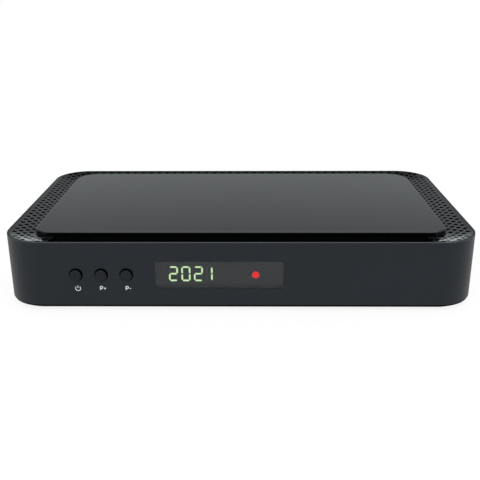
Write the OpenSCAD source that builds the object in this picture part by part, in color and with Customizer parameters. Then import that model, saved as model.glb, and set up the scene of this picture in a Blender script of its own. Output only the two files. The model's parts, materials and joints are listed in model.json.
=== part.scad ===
// Satellite television receiver: a rounded box with a perforated rim, a raised top
// panel, three front buttons, a clock behind a smoked window and sockets at the back.
// Millimetres, +Z up, the front faces -Y. The origin is the middle of the whole
// footprint, on the surface that the rubber feet stand on.

/* [Case] */
// Width of the case
case_w = 211; // [206:1:240]
// Depth of the case, front face to rear face
case_d = 121; // [118:1:150]
// Height of the rim above the underside of the case
case_h = 30.5; // [30:0.5:40]
// Radius of the two front corners, seen from above
corner_r = 18; // [18:0.5:19]
// Radius of the two rear corners, seen from above
rear_r = 16.5; // [14:0.5:17]
// Thickness of the walls
wall_t = 2.2; // [2:0.1:2.6]
// Thickness of the thin lip that rings the top frame
lip_t = 0.7; // [0.7:0.1:1.3]
// Rounding of the lip's top
rim_r = 0.3; // [0.2:0.05:0.35]
// Rounding of the panel's and the feet's edges
edge_r = 0.5; // [0.3:0.1:0.8]
// Play between fixed pieces that drop into each other
seat_gap = 0.1; // [0.05:0.05:0.2]

/* [Top] */
// Raised panel, distance in from the sides
panel_side = 12.8; // [12.5:0.1:13.6]
// Raised panel, distance back from the front face
panel_front = 10.2; // [8:0.2:12]
// Raised panel, distance in from the rear
panel_rear = 10.5; // [10:0.5:13]
// Radius of the raised panel's two front corners
panel_r = 7.5; // [5:0.5:8]
// Radius of the raised panel's two rear corners
panel_rear_r = 12; // [8:0.5:12.5]
// Height of the raised panel above the rim
panel_rise = 1.1; // [0.6:0.1:3]
// Thickness of the raised panel's plate
panel_t = 1.5; // [1.2:0.1:2]
// Drop from the rim to the front recess and to the panel's seat
recess_drop = 2.5; // [2:0.1:3]
// Fall of the perforated band from the rim to the panel
band_drop = 2.1; // [1.6:0.1:2.4]
// Thickness of the top frame
frame_t = 1.6; // [1.2:0.1:2]

/* [Vents] */
// Diameter of a vent hole
vent_d = 2.1; // [1.2:0.1:2.2]
// Distance between hole columns, rounded so that they fill the width
vent_col = 2.3; // [2.2:0.05:3]
// Distance between holes of one column
vent_row = 4.35; // [4.2:0.05:6]
// Distance from the side face to the first holes
vent_side = 3.5; // [3.5:0.1:4.5]
// Distance from the rear face to the first holes
vent_rear = 3.4; // [3.3:0.1:4]
// Least distance from a hole to the outline, at the corners
vent_edge = 2.3; // [2.2:0.1:3.4]

/* [Base] */
// Thickness of the base tray's floor
tray_t = 2; // [1.6:0.1:2.4]
// Height of the dark line that the tray shows under the walls
shadow_h = 0.8; // [0.6:0.1:1.2]
// Distance that the tray stays back from the walls
shadow_in = 0.4; // [0.2:0.1:1]
// Diameter of a rubber foot
foot_d = 12; // [8:0.5:14]
// Height of a rubber foot under the case
foot_h = 2; // [1.5:0.1:4]
// Distance from a foot's middle to the nearest faces
foot_in = 24; // [22:1:28]
// Length of a slot in the floor
slot_len = 26; // [15:1:30]
// Width of a slot in the floor
slot_w = 2; // [1.5:0.1:2.5]

/* [Buttons] */
// Diameter of a button
button_d = 5.2; // [5:0.1:5.8]
// Gap around a button in its hole
button_gap = 0.45; // [0.2:0.05:0.45]
// Distance between buttons
button_pitch = 11.1; // [10.5:0.1:12]
// Distance from the left side to the middle of the first button
button_in = 33.5; // [33:0.1:36]
// Height of the buttons and the window above the underside
control_h = 15.3; // [14:0.1:16.5]
// Distance that a button stands out of the front face
button_out = 1.2; // [0.8:0.1:1.6]
// Travel of a button
button_travel = 0.5; // [0.3:0.1:0.6]

/* [Display] */
// Width of the window
window_w = 56.4; // [54:0.1:58]
// Height of the window
window_h = 12.5; // [12:0.1:14]
// Distance from the last button's middle to the window
window_gap = 12.5; // [11.6:0.1:14]
// Height of a digit
digit_h = 7.1; // [6.5:0.1:7.6]
// Width of a digit
digit_w = 4.05; // [3.8:0.05:4.4]
// Distance between digits
digit_pitch = 5.5; // [5.2:0.1:5.8]
// Stroke of a digit's segment
segment_t = 0.75; // [0.6:0.05:1]
// Distance from the window's left edge to the first digit
digit_in = 5.9; // [5:0.1:7]
// Distance that the digits lie below the middle of the window
digit_drop = 0.45; // [0:0.05:0.8]
// Diameter of the standby lamp
led_d = 3.3; // [3:0.1:3.6]
// Distance from the window's right edge to the lamp's middle
led_in = 12.2; // [11.6:0.1:14]
// Distance that the lamp lies below the middle of the window
led_drop = 1; // [0:0.1:1.4]

/* [Sockets] */
// Diameter over the thread of an aerial connector
thread_d = 9.5; // [9.4:0.1:9.7]
// Length of an aerial connector behind the rear face
thread_len = 10; // [8:0.5:12]
// Distance between the two aerial connectors
thread_pitch = 22; // [18:1:24]
// Diameter of an aerial connector's base in the rear panel
aerial_base_d = 11.2; // [10.8:0.1:12]
// Distance from the left side to the first socket
sockets_left = 34; // [30:0.5:36]
// Distance from the right side to the tuner's tin box
sockets_right = 24.5; // [23:0.5:28]
// Bore of the headphone-size socket for picture and sound
av_bore = 3.6; // [3.55:0.05:3.8]
// Bore of the power inlet
inlet_bore = 6.3; // [5.8:0.1:6.6]
// Pin of the power inlet
inlet_pin_d = 2; // [1.6:0.1:2.5]

/* [Boards] */
// Thickness of a circuit board
board_t = 1.6; // [1.2:0.1:2]
// Distance from the case's sides to the main board
board_side = 22.5; // [20:0.5:23]
// Distance between the front board and the main board
board_front_gap = 18.6; // [17:0.1:22]
// Height of the posts under the main board
post_h = 5; // [4.5:0.5:6]
// Depth of the display block
display_t = 6; // [5.6:0.1:7]
// Width of a finned heat sink
sink_w = 36; // [28:1:40]
// Height of the heat sink
sink_h = 12; // [8:0.5:13]

/* [Hidden] */
$fn = 48;

// Small lengths that keep cuts clean and pieces apart
cut = 1;
loose = 0.3;
running = 0.05;

// Heights, from the surface that the feet stand on
case_z = foot_h;
wall_z = case_z + shadow_h;
floor_z = case_z + tray_t;
rim_z = case_z + case_h;
panel_z = rim_z + panel_rise;
deck_z = rim_z - recess_drop;
ledge_z = deck_z - frame_t;
control_z = case_z + control_h;
board_z = floor_z + post_h;
board_top = board_z + board_t;

// Front to rear
front_y = button_out - (case_d + thread_len + button_out) / 2;
rear_y = front_y + case_d;
case_y = (front_y + rear_y) / 2;
inner_y = front_y + wall_t;

// Top frame and raised panel
frame_in = lip_t + seat_gap;
skirt_t = 1.1;
panel_w = case_w - 2 * panel_side;
panel_d = case_d - panel_front - panel_rear;
panel_y = front_y + panel_front + panel_d / 2;
panel_step = 0.5;
panel_skirt = 1.6;
deck_lap = 1.6;
deck_in = panel_side + panel_step + panel_skirt + deck_lap;
deck_r = 1;
straight_x = case_w / 2 - corner_r;
band_on = 4;
band_end = straight_x - band_on;

// Vent holes: whole columns from each side to the middle
vent_reach = case_w / 2 - vent_side;
vent_cols = round(vent_reach / vent_col);
vent_dx = vent_reach / vent_cols;
vent_rows = floor((case_d - vent_rear) / vent_row);
vent_web = 0.9;
vent_start = 1.2;

// Screws
screw_d = 2.9;
screw_hole = 3.4;
screw_head_d = 5.4;
screw_head_h = 1.8;
screw_in = 12;
boss_d = 7;
boss_split = 8;
boss_base = floor_z + boss_split;
boss_clear = 2;
boss_top = ledge_z - boss_clear;
rib_t = 1.6;
rib_bite = 0.4;
screw_len = 15;
small_screw_d = 2;
small_head_d = 4;
small_head_h = 1.4;
small_screw_len = 6;

// Base tray
upstand_h = 3;
upstand_t = 1.4;
foot_seat = 0.6;
slot_pitch = 6;
slot_count = 12;
slot_row_y = 16;
sill_d = 4.4;

// Rear panel
rear_t = 2;
rear_in = 0.3;
rear_side = 3;
rear_w = 2 * (straight_x - rear_side);
rear_header = 1.2;
notch_top = ledge_z - rear_header;
rear_face = rear_y - rear_in;
rear_inner = rear_face - rear_t;

// Window
window_in = 0.1;
window_r = 0.5;
window_flange = 1.5;
window_flange_t = 1;
window_back = inner_y + window_flange_t;

// Front board, its switches and its display
display_y = window_back + loose;
front_board_y = display_y + display_t;
front_board_back = front_board_y + board_t;
front_board_h = 21;
front_post_d = 5;
button_x = [for (i = [0:2]) -case_w / 2 + button_in + i * button_pitch];
window_x0 = button_x[2] + window_gap;
window_x1 = window_x0 + window_w;
window_x = (window_x0 + window_x1) / 2;
flange_side = 1.1;
flange_d = button_d + 2 * flange_side;
front_post_left = 8.3;
front_post_right = 6.5;
front_post_x = [
    button_x[0] - front_post_left,
    (button_x[2] + flange_d / 2 + window_x0 - window_flange) / 2,
    window_x1 + front_post_right
];
front_board_edge = 4;
front_board_x0 = front_post_x[0] - front_board_edge;
front_board_x1 = front_post_x[2] + front_board_edge;
button_edge = 0.4;
flange_t = 0.8;
stem_d = 3;
switch_w = 6;
switch_h = 6;
switch_t = 3.5;
switch_front = front_board_y - switch_t;
plunger_d = 3.4;
plunger_tip = front_board_y - switch_h;
plunger_in = 2;
plunger_room = 0.4;
flange_y = inner_y + seat_gap;
display_edge = 1.3;
display_w = 3 * digit_pitch + digit_w + 2 * display_edge;
display_h = digit_h + 2 * display_edge;
digit_x = window_x0 + digit_in + digit_w / 2;
digit_z = control_z - digit_drop;
display_x = digit_x + 3 * digit_pitch / 2;
segment_proud = 0.1;
segment_gap = 0.14;
// Lit segments of each digit, in the order a b c d e f g: the clock shows 2021
DIGITS = [[1, 1, 0, 1, 1, 0, 1], [1, 1, 1, 1, 1, 1, 0], [1, 1, 0, 1, 1, 0, 1], [0, 1, 1, 0, 0, 0, 0]];
one_shift = -1.2;
led_x = window_x1 - led_in;
led_z = control_z - led_drop;
led_edge = 0.1;
led_len = 5;
holder_d = 5;
infrared_right = 7;
infrared_x = led_x + infrared_right;
infrared_w = 5.6;
infrared_h = 6.8;
infrared_t = 3.2;
infrared_r = 2.2;

// Flat cable between the boards
ribbon_x = window_x;
ribbon_w = 20;
ribbon_t = 0.4;
ribbon_bend = 4;
plug_w = 24;
plug_t = 4;
plug_h = 5;
plug_in = 1;
ribbon_up = 4.7;
ribbon_z = control_z + ribbon_up;

// Main board and what stands on it
board_rear_gap = 1;
board_rear = rear_inner - board_rear_gap;
board_front = front_board_back + board_front_gap;
board_w = case_w - 2 * board_side;
board_d = board_rear - board_front;
board_y = board_rear - board_d / 2;
board_r = 1;
board_post_d = 6;
board_hole_in = 5;
board_hole_front = 6;
board_hole_rear = 38;
board_hole_x = board_w / 2 - board_hole_in;
board_hole_y = [board_front + board_hole_front, board_rear - board_hole_rear];
chip_w = 17;
chip_t = 1.6;
chip_x = -12;
chip_in = 35;
chip_y = board_front + chip_in;
sink_base = 2.5;
fin_count = 9;
fin_t = 1.2;
memory_w = 12;
memory_d = 8;
memory_t = 1.1;
memory_gap = 1;
coil_w = 7;
coil_h = 4;
coil_r = 1.6;
coil_in = 12;
coil_y = board_front + coil_in;
power_chip = [5, 6, 1.5];
power_chip_in = 22;
power_chip_y = board_front + power_chip_in;
power_pitch = 11;
power_side = 4;
can_cap_d = 8;
can_cap_h = 11;
can_bead = 1;
can_pitch = 10;
capacitor_in = 26;
capacitor_y = board_rear - capacitor_in;
crystal_l = 10;
crystal_w = 3.6;
crystal_gap = 6;

// Sockets along the rear edge of the main board
can_w = 46;
can_d = 26;
can_h = 16;
can_wall = 0.6;
can_gap = 1;
can_rear = board_rear - can_gap;
aerial_rise = 8.5;
aerial_z = board_top + aerial_rise;
insulator_d = 7;
contact_d = 1.2;
socket_floor = 1;
chamfer = 0.6;
hdmi_w = 15;
hdmi_h = 5.6;
hdmi_d = 12;
shell_t = 0.4;
tongue_t = 1.2;
tongue_side = 1;
tongue_back = 1;
usb_tongue_drop = 0.7;
network_w = 16;
network_h = 13.4;
network_d = 18;
network_back = 4;
latch_back = 8;
network_port = [11.8, 7.6];
network_port_z = 2.2;
latch_w = 4.4;
latch_h = 2.2;
contact_count = 8;
contact_pitch = 1.02;
contact_t = 0.5;
contact_l = 3;
contact_h = 2.4;
usb_w = 13.2;
usb_h = 5.9;
usb_d = 14;
audio_d = 8.3;
audio_base_d = 10;
audio_len = 8.5;
audio_insulator = 6.6;
audio_hole = 3.2;
audio_rise = 7;
audio_z = board_top + audio_rise;
audio_body = [10, 9, 12];
audio_gap = 1;
audio_rear = rear_inner - audio_gap;
av_collar_d = 6;
av_len = 1.2;
av_depth = 14;
av_body = [7, 12.5, 6.4];
av_z = board_top + av_body[2] / 2;
av_gap = 0.5;
av_rear = rear_inner - av_gap;
inlet_body = [9, 13, 11];
inlet_z = board_top + inlet_body[2] / 2;
inlet_depth = 10;
inlet_len = 9;

// One row of sockets with equal gaps, from the left to the right seen from the front
SOCKET_W = [inlet_body[0], av_body[0], audio_body[0], usb_w, network_w, hdmi_w, can_w];
function sum_to(n) = n == 0 ? 0 : SOCKET_W[n - 1] + sum_to(n - 1);
socket_gap = (case_w - sockets_left - sockets_right - sum_to(7)) / 6;
function socket_x(n) = -case_w / 2 + sockets_left + sum_to(n) + n * socket_gap + SOCKET_W[n] / 2;
inlet_x = socket_x(0);
av_x = socket_x(1);
audio_x = socket_x(2);
usb_x = socket_x(3);
network_x = socket_x(4);
hdmi_x = socket_x(5);
can_x = socket_x(6);
aerial_x = [can_x + thread_pitch / 2, can_x - thread_pitch / 2];
power_x = [for (i = [0:2]) inlet_x + power_side + i * power_pitch];

// A rounded rectangle, centred
module rounded_rect(w, d, r) {
    square([w - 2 * r, d], center = true);
    square([w, d - 2 * r], center = true);
    for (sx = [-1, 1], sy = [-1, 1])
        translate([sx * (w / 2 - r), sy * (d / 2 - r)])
            circle(r);
}

// A rounded rectangle, centred, with one radius for its front and one for its rear corners
module outline(w, d, front, rear) {
    translate([-w / 2, -d / 2]) {
        translate([0, front])
            square([w, d - front - rear]);
        for (c = [[front, 0], [rear, d - 2 * rear]])
            translate(c)
                square([w - 2 * c[0], 2 * c[0]]);
        for (x = [front, w - front])
            translate([x, front])
                circle(front);
        for (x = [rear, w - rear])
            translate([x, d - rear])
                circle(rear);
    }
}

// The case's outline, drawn in by a distance
module case_outline(inset) {
    translate([0, case_y])
        outline(case_w - 2 * inset, case_d - 2 * inset, corner_r - inset, rear_r - inset);
}

// The raised panel's outline, drawn in by a distance
module panel_outline(inset) {
    translate([0, panel_y])
        outline(panel_w - 2 * inset, panel_d - 2 * inset, panel_r - inset, panel_rear_r - inset);
}

// Carries a profile round a rounded rectangle: x is the distance in from the outline,
// y the height. Radii: rear right, rear left, front left, front right.
// Sides: 0 left, 1 front, 2 right, 3 rear.
module swept(w, d, radii, sides = [0, 1, 2, 3]) {
    for (k = [0:3])
        rotate(90 * k)
            translate([(k % 2 == 0 ? w : d) / 2 - radii[k], (k % 2 == 0 ? d : w) / 2 - radii[k], 0])
                rotate_extrude(angle = 90)
                    translate([radii[k], 0])
                        mirror([1, 0])
                            children();
    for (k = sides) {
        from = radii[(k + 1) % 4];
        to = radii[(k + 2) % 4];
        rotate(90 * k)
            translate([-(k % 2 == 0 ? w : d) / 2, (k % 2 == 0 ? d : w) / 2 - from, 0])
                rotate([90, 0, 0])
                    linear_extrude((k % 2 == 0 ? d : w) - from - to)
                        children();
    }
}

// The same, round the case
module swept_case(sides = [0, 1, 2, 3]) {
    translate([0, case_y, 0])
        swept(case_w, case_d, [rear_r, rear_r, corner_r, corner_r], sides)
            children();
}

// A round bar along +Y from y0 to y1
module bar(d, y0, y1) {
    translate([0, y0, 0])
        rotate([-90, 0, 0])
            cylinder(d = d, h = y1 - y0);
}

// A box centred on x, from y0 to y1 and from z0 to z1
module block(w, y0, y1, z0, z1) {
    translate([-w / 2, y0, z0])
        cube([w, y1 - y0, z1 - z0]);
}

// The four places that mirror one corner place of the case
module at_corners(inset) {
    for (sx = [-1, 1], sy = [-1, 1])
        translate([sx * (case_w / 2 - inset), case_y + sy * (case_d / 2 - inset), 0])
            children();
}

// Floor of the case: a black tray whose edge shows as a thin line under the walls
module base_tray() {
    color("#1b1c1e")
        difference() {
            union() {
                translate([0, 0, case_z])
                    linear_extrude(shadow_h)
                        case_outline(shadow_in);
                translate([0, 0, case_z])
                    linear_extrude(tray_t)
                        case_outline(wall_t + seat_gap);
                translate([0, 0, case_z])
                    linear_extrude(tray_t + upstand_h)
                        difference() {
                            case_outline(wall_t + seat_gap);
                            case_outline(wall_t + seat_gap + upstand_t);
                        }
                at_corners(screw_in)
                    translate([0, 0, case_z])
                        cylinder(d = boss_d, h = boss_base - case_z);
                for (sx = [-1, 1], y = board_hole_y)
                    translate([sx * board_hole_x, y, case_z])
                        cylinder(d = board_post_d, h = board_z - case_z);
                // Sill that carries the rear panel
                block(rear_w, rear_inner - sill_d, rear_face, case_z, floor_z);
            }
            // The rear panel stands on the floor, in a gap of the upstand
            block(rear_w, rear_inner - upstand_t - cut, rear_y + cut, floor_z, board_top);
            at_corners(screw_in)
                translate([0, 0, case_z - cut])
                    cylinder(d = screw_hole, h = boss_base);
            at_corners(screw_in)
                translate([0, 0, case_z - cut])
                    cylinder(d = screw_head_d + 2 * loose, h = cut + screw_head_h + loose);
            for (sx = [-1, 1], y = board_hole_y)
                translate([sx * board_hole_x, y, floor_z])
                    cylinder(d = screw_d + 2 * running, h = board_z);
            at_corners(foot_in)
                translate([0, 0, case_z - cut])
                    cylinder(d = foot_d + 2 * seat_gap, h = cut + foot_seat);
            for (sy = [-1, 1], i = [0:slot_count - 1])
                translate([(i - (slot_count - 1) / 2) * slot_pitch, case_y + sy * slot_row_y, case_z - cut])
                    linear_extrude(tray_t + 2 * cut)
                        rounded_rect(slot_w, slot_len, slot_w / 2 - running);
        }
}

// Four stick-on feet, each in a shallow round seat
module rubber_feet() {
    color("#2a2a2a")
        at_corners(foot_in) {
            translate([0, 0, edge_r])
                cylinder(d = foot_d, h = foot_h + foot_seat - edge_r);
            cylinder(d1 = foot_d - 2 * edge_r, d2 = foot_d, h = edge_r);
        }
}

// A pan-head screw that points up from its head
module screw(d, len, head_d, head_h) {
    difference() {
        union() {
            cylinder(d = d, h = len + head_h);
            cylinder(d = head_d, h = head_h);
        }
        for (a = [0, 90])
            rotate(a)
                translate([0, 0, head_h / 4])
                    cube([head_d * 0.6, head_d * 0.16, head_h / 2 + running], center = true);
    }
}

// Four screws from below hold the tray to the upper case
module case_screws() {
    color("#3c3d40")
        at_corners(screw_in)
            translate([0, 0, case_z + loose])
                screw(screw_d, screw_len, screw_head_d, screw_head_h);
}

// Front, sides and rear header in one moulding, open at the top and the bottom
module upper_case() {
    color("#2c3034")
        difference() {
            union() {
                swept_case()
                    union() {
                        translate([0, wall_z])
                            square([wall_t, ledge_z - wall_z]);
                        translate([0, wall_z])
                            square([lip_t, rim_z - rim_r - wall_z]);
                        translate([rim_r, wall_z])
                            square([lip_t - 2 * rim_r, rim_z - wall_z]);
                        for (x = [rim_r, lip_t - rim_r])
                            translate([x, rim_z - rim_r])
                                circle(rim_r);
                    }
                // Screw bosses, each tied to two walls by ribs
                at_corners(screw_in)
                    translate([0, 0, boss_base])
                        cylinder(d = boss_d, h = boss_top - boss_base);
                for (sx = [0, 1], sy = [0, 1])
                    mirror([sx, 0, 0])
                        translate([case_w / 2 - screw_in, case_y, boss_base])
                            mirror([0, sy, 0])
                                translate([0, case_d / 2 - screw_in, 0])
                                    for (k = [0, 1])
                                        mirror([k, -k, 0])
                                            translate([0, -rib_t / 2, 0])
                                                cube([screw_in - wall_t + rib_bite, rib_t,
                                                      boss_top - boss_base]);
                // Posts for the front board
                for (x = front_post_x)
                    translate([x, 0, control_z])
                        bar(front_post_d, inner_y - wall_t / 2, front_board_y);
            }
            at_corners(screw_in)
                translate([0, 0, boss_base - cut])
                    cylinder(d = screw_d + 2 * running, h = screw_len);
            for (x = front_post_x)
                translate([x, 0, control_z])
                    bar(small_screw_d + 2 * running, inner_y, front_board_y + cut);
            // Room for the rear panel
            block(rear_w + 2 * seat_gap, rear_y - wall_t - cut, rear_y + cut,
                  wall_z - cut, notch_top + seat_gap);
            for (x = button_x)
                translate([x, 0, control_z])
                    bar(button_d + 2 * button_gap, front_y - cut, inner_y + cut);
            translate([window_x, inner_y + cut, control_z])
                rotate([90, 0, 0])
                    linear_extrude(wall_t + 2 * cut)
                        rounded_rect(window_w + 2 * seat_gap, window_h + 2 * seat_gap, window_r + seat_gap);
        }
}

// Distance from a rounded rectangle to a point: less than 0 inside it. The middle of the
// rectangle is on x = 0 and at y = middle.
function distance(x, y, w, d, middle, front, rear) =
    let (r = y > middle ? rear : front,
         qx = abs(x) - (w / 2 - r),
         qy = abs(y - middle) - (d / 2 - r))
    norm([max(qx, 0), max(qy, 0)]) + min(max(qx, qy), 0) - r;

// Distance from the case's outline to a point inside it
function depth_in(x, y) = -distance(x, y, case_w, case_d, case_y, corner_r, rear_r);

// Distance from the raised panel's outline to a point outside it
function clear_of_panel(x, y) = distance(x, y, panel_w, panel_d, panel_y, panel_r, panel_rear_r);

// Places of the vent holes: a staggered pattern, kept where it fits on the sloping band
function vent_places() = [
    for (i = [0:vent_cols], j = [0:vent_rows], s = (i == vent_cols ? [1] : [-1, 1]))
        let (x = s * (vent_reach - i * vent_dx),
             y = rear_y - vent_rear - (j + ((i + 1) % 2) / 2) * vent_row)
        if (depth_in(x, y) >= vent_edge
            && clear_of_panel(x, y) >= vent_d / 2 + vent_web
            && (y > front_y + panel_front || abs(x) > band_end + vent_start))
            [x, y]
];

// Section of the perforated band: it falls from the rim to the panel's seat, and a short
// skirt hangs down beside the wall
module band_section() {
    polygon([
        [frame_in, 0],
        [panel_side, -band_drop],
        [panel_side, -recess_drop - frame_t],
        [frame_in + skirt_t, -frame_t],
        [frame_in + skirt_t, -recess_drop - frame_t],
        [frame_in, -recess_drop - frame_t]
    ]);
}

// Top frame: the perforated band, which runs on a little past the front corners, and a flat
// floor between its ends that leaves a dark recess under the panel's front edge
module vent_frame() {
    color("#3a3c3e")
        difference() {
            union() {
                translate([0, 0, rim_z])
                    swept_case([0, 2, 3])
                        band_section();
                for (x = [-straight_x, band_end])
                    translate([x, front_y, rim_z])
                        rotate([90, 0, 90])
                            linear_extrude(band_on)
                                band_section();
                block(2 * straight_x, front_y + frame_in, front_y + deck_in, ledge_z, deck_z);
                // Flat ring that the raised panel stands on
                translate([0, 0, ledge_z])
                    linear_extrude(frame_t)
                        difference() {
                            case_outline(panel_side - cut);
                            translate([0, case_y])
                                rounded_rect(case_w - 2 * deck_in, case_d - 2 * deck_in, deck_r);
                        }
            }
            translate([0, 0, deck_z])
                linear_extrude(recess_drop + cut)
                    panel_outline(-seat_gap);
            for (p = vent_places())
                translate([p[0], p[1], ledge_z - cut])
                    cylinder(d = vent_d, h = recess_drop + frame_t + 2 * cut, $fn = 16);
        }
}

// Raised panel: a plate with a rounded edge over a skirt that stands on the frame
module top_panel() {
    color("#4a4c4e") {
        translate([0, 0, panel_z - panel_t])
            linear_extrude(panel_t)
                panel_outline(edge_r);
        translate([0, panel_y, panel_z])
            swept(panel_w, panel_d, [panel_rear_r, panel_rear_r, panel_r, panel_r]) {
                union() {
                    translate([0, -panel_t])
                        square([panel_step + edge_r, panel_t - edge_r]);
                    translate([edge_r, -edge_r])
                        circle(edge_r);
                }
            }
        translate([0, 0, deck_z])
            linear_extrude(panel_z - panel_t - deck_z)
                difference() {
                    panel_outline(panel_step);
                    panel_outline(panel_step + panel_skirt);
                }
    }
}

// A round cut through the rear panel
module rear_hole(x, z, d) {
    translate([x, 0, z])
        bar(d, rear_inner - cut, rear_face + cut);
}

// A square cut through the rear panel for a socket that stands on the board
module rear_slot(x, w, h) {
    translate([x, 0, 0])
        block(w + 2 * loose, rear_inner - cut, rear_face + cut,
              board_top - loose, board_top + h + loose);
}

// Plate at the back with the sockets' cut-outs
module rear_panel() {
    color("#202224")
        difference() {
            block(rear_w, rear_inner, rear_face, floor_z, notch_top);
            for (x = aerial_x)
                rear_hole(x, aerial_z, aerial_base_d + 2 * loose);
            rear_slot(hdmi_x, hdmi_w, hdmi_h);
            rear_slot(network_x, network_w, network_h);
            rear_slot(usb_x, usb_w, usb_h);
            rear_hole(audio_x, audio_z, audio_base_d + 2 * loose);
            rear_hole(av_x, av_z, av_collar_d + 2 * loose);
            rear_slot(inlet_x, inlet_body[0], inlet_body[2]);
        }
}

// Smoked window with a flange glued behind the front wall
module display_window() {
    color([0.24, 0.26, 0.27, 0.6])
        translate([window_x, 0, control_z])
            rotate([90, 0, 0]) {
                translate([0, 0, -inner_y])
                    linear_extrude(wall_t - window_in)
                        rounded_rect(window_w, window_h, window_r);
                translate([0, 0, -window_back])
                    linear_extrude(window_flange_t)
                        rounded_rect(window_w + 2 * window_flange, window_h + 2 * window_flange,
                                     window_r);
            }
}

// A button: a cap with a rounded edge, a flange behind the wall and a stem
module button(x) {
    face_y = front_y - button_out;
    color("#2e3236")
        translate([x, 0, control_z]) {
            bar(button_d, face_y + button_edge, flange_y + flange_t);
            bar(button_d - 2 * button_edge, face_y, flange_y);
            translate([0, face_y + button_edge, 0])
                rotate([-90, 0, 0])
                    rotate_extrude()
                        translate([button_d / 2 - button_edge, 0])
                            circle(button_edge);
            bar(flange_d, flange_y, flange_y + flange_t);
            bar(stem_d, flange_y, plunger_tip);
        }
}

module power_button() { button(button_x[0]); }

module channel_up_button() { button(button_x[1]); }

module channel_down_button() { button(button_x[2]); }

// The plunger of a push switch, which the button's stem presses
module plunger(x) {
    color("#1a1a1a")
        translate([x, 0, control_z])
            bar(plunger_d, plunger_tip, switch_front + plunger_in);
}

module power_plunger() { plunger(button_x[0]); }

module channel_up_plunger() { plunger(button_x[1]); }

module channel_down_plunger() { plunger(button_x[2]); }

// Housings of the three push switches, each bored for its plunger
module switch_housings() {
    color("#24262a")
        for (x = button_x)
            translate([x, 0, control_z])
                difference() {
                    block(switch_w, switch_front, front_board_y, -switch_w / 2, switch_w / 2);
                    bar(plunger_d + 2 * running, switch_front - cut,
                        switch_front + plunger_in + button_travel + plunger_room);
                }
}

// Upright board behind the front wall
module front_board() {
    color("#1f5a36")
        difference() {
            translate([front_board_x0, front_board_y, control_z - front_board_h / 2])
                cube([front_board_x1 - front_board_x0, board_t, front_board_h]);
            for (x = front_post_x)
                translate([x, 0, control_z])
                    bar(small_screw_d + 2 * loose, front_board_y - cut, front_board_back + cut);
        }
}

module front_board_screws() {
    color("#8d8f92")
        for (x = front_post_x)
            translate([x, front_board_back + small_head_h, control_z])
                rotate([90, 0, 0])
                    screw(small_screw_d, small_screw_len, small_head_d, small_head_h);
}

// Block of the four-digit clock display
module display_module() {
    color("#17181a")
        translate([display_x, 0, digit_z])
            block(display_w, display_y + segment_proud, front_board_y, -display_h / 2, display_h / 2);
}

// One segment: a bar with pointed ends, its middle at the origin, along x
module segment(len) {
    t = segment_t / 2;
    e = len / 2 - segment_gap;
    polygon([[-e, 0], [-e + t, t], [e - t, t], [e, 0], [e - t, -t], [-e + t, -t]]);
}

// Middles and turns of the segments a to g of a digit whose middle is at the origin
function segment_places() =
    let (x = (digit_w - segment_t) / 2, z = (digit_h - segment_t) / 4)
    [[0, 2 * z, 0], [x, z, 90], [x, -z, 90], [0, -2 * z, 0], [-x, -z, 90], [-x, z, 90], [0, 0, 0]];

// The lit segments, thin bars on the face of the display block
module display_segments() {
    color("#a8e08c")
        for (i = [0:3], k = [0:6])
            if (DIGITS[i][k] == 1)
                translate([digit_x + i * digit_pitch + (i == 3 ? one_shift : 0),
                           display_y + segment_proud, digit_z])
                    rotate([90, 0, 0])
                        linear_extrude(segment_proud)
                            translate([segment_places()[k][0], segment_places()[k][1]])
                                rotate(segment_places()[k][2])
                                    segment(k % 3 == 0 ? digit_w - segment_t : (digit_h - segment_t) / 2);
}

// Round red lamp with a flat face and a bevelled edge
module standby_led() {
    color("#e0262c")
        translate([led_x, display_y, led_z]) {
            rotate([-90, 0, 0])
                cylinder(d1 = led_d - 2 * led_edge, d2 = led_d, h = led_edge);
            bar(led_d, led_edge, led_len);
        }
}

// Sleeve that holds the lamp off the board
module led_holder() {
    color("#141414")
        translate([led_x, 0, led_z])
            bar(holder_d, display_y + led_len, front_board_y);
}

// Receiver for the remote control, behind the window beside the lamp
module infrared_receiver() {
    color("#1c1618")
        translate([infrared_x, 0, control_z]) {
            block(infrared_w, front_board_y - infrared_t, front_board_y, -infrared_h / 2, infrared_h / 2);
            translate([0, front_board_y - infrared_t, 0])
                sphere(r = infrared_r);
        }
}

// Flat cable: back from the front board, round a bend and down to the main board
module ribbon_cable() {
    bend_y = board_front + plug_in + plug_t / 2;
    color("#d8d8d2")
        translate([ribbon_x - ribbon_w / 2, 0, 0])
            rotate([90, 0, 90])
                linear_extrude(ribbon_w) {
                    translate([front_board_back + plug_h, ribbon_z - ribbon_t / 2])
                        square([bend_y - ribbon_bend - front_board_back - plug_h, ribbon_t]);
                    translate([bend_y - ribbon_bend, ribbon_z - ribbon_bend])
                        intersection() {
                            difference() {
                                circle(ribbon_bend + ribbon_t / 2);
                                circle(ribbon_bend - ribbon_t / 2);
                            }
                            square(ribbon_bend + ribbon_t);
                        }
                    translate([bend_y - ribbon_t / 2, board_top + plug_h])
                        square([ribbon_t, ribbon_z - ribbon_bend - board_top - plug_h]);
                }
}

// Sockets at the two ends of the flat cable
module ribbon_connectors() {
    color("#e6e2d6")
        translate([ribbon_x, 0, 0]) {
            block(plug_w, front_board_back, front_board_back + plug_h,
                  ribbon_z - plug_t / 2, ribbon_z + plug_t / 2);
            block(plug_w, board_front + plug_in, board_front + plug_in + plug_t,
                  board_top, board_top + plug_h);
        }
}

// Main board on the tray's posts
module main_board() {
    color("#1f5a36")
        difference() {
            translate([0, board_y, board_z])
                linear_extrude(board_t)
                    rounded_rect(board_w, board_d, board_r);
            for (sx = [-1, 1], y = board_hole_y)
                translate([sx * board_hole_x, y, board_z - cut])
                    cylinder(d = screw_hole, h = board_t + 2 * cut);
        }
}

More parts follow.
